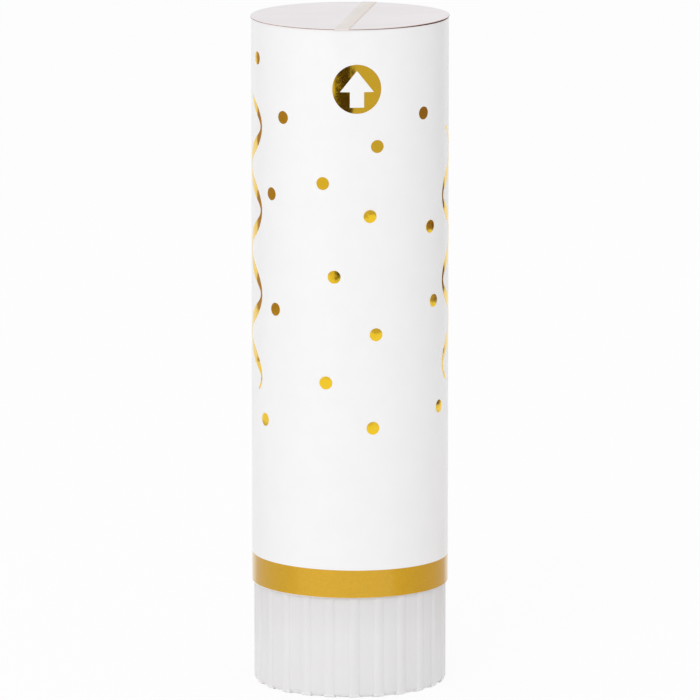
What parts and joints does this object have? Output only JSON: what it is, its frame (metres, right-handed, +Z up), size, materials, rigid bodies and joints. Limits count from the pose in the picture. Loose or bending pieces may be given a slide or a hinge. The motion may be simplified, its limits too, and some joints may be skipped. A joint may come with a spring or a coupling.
{
  "type": "confetti popper",
  "caption": "Paper tube confetti popper on a ribbed twist base: a sprung piston, freed by turning the base, drives confetti and a taped lid out of the top.",
  "frame": {"origin": "on the table under the middle of the base", "axes": "+Z up along the tube's axis towards the lid, -Y towards the front with the arrow sign, +X to the right seen from the front"},
  "size_m": [0.0504, 0.0505, 0.1716],
  "materials": {
    "tube_board": "matte",
    "wrap_paper": "satin",
    "band_foil": "satin",
    "housing_plastic": "matte",
    "base_plastic": "satin",
    "confetti_paper": "matte",
    "spring_steel": "satin",
    "lid_card": "matte",
    "tape_paper": "matte"
  },
  "bodies": {
    "tube": {"paper_tube": "tube_board", "printed_wrap": "wrap_paper", "gold_band": "band_foil", "spring_housing": "housing_plastic", "launch_spring": "spring_steel"},
    "base": {"twist_base": "base_plastic"},
    "pusher": {"piston": "housing_plastic", "wad_disc": "tube_board", "confetti_charge": "confetti_paper"},
    "lid": {"lid_disc": "lid_card", "lid_tape": "tape_paper"}
  },
  "joints": [
    {"name": "base_twist", "type": "hinge", "parent": "tube", "child": "base", "pos_m": [0, 0, 0.012], "axis": [0, 0, 1], "range_deg": [-90, 0]},
    {"name": "piston_slide", "type": "slide", "parent": "tube", "child": "pusher", "axis": [0, 0, 1], "range_m": [0, 0.115], "deforming": ["launch_spring"]},
    {"name": "lid_lift", "type": "slide", "parent": "tube", "child": "lid", "axis": [0, 0, 1], "range_m": [0, 0.138]}
  ],
  "couplings": [
    {"joint": "lid_lift", "follows": "piston_slide", "ratio": 1.2}
  ]
}
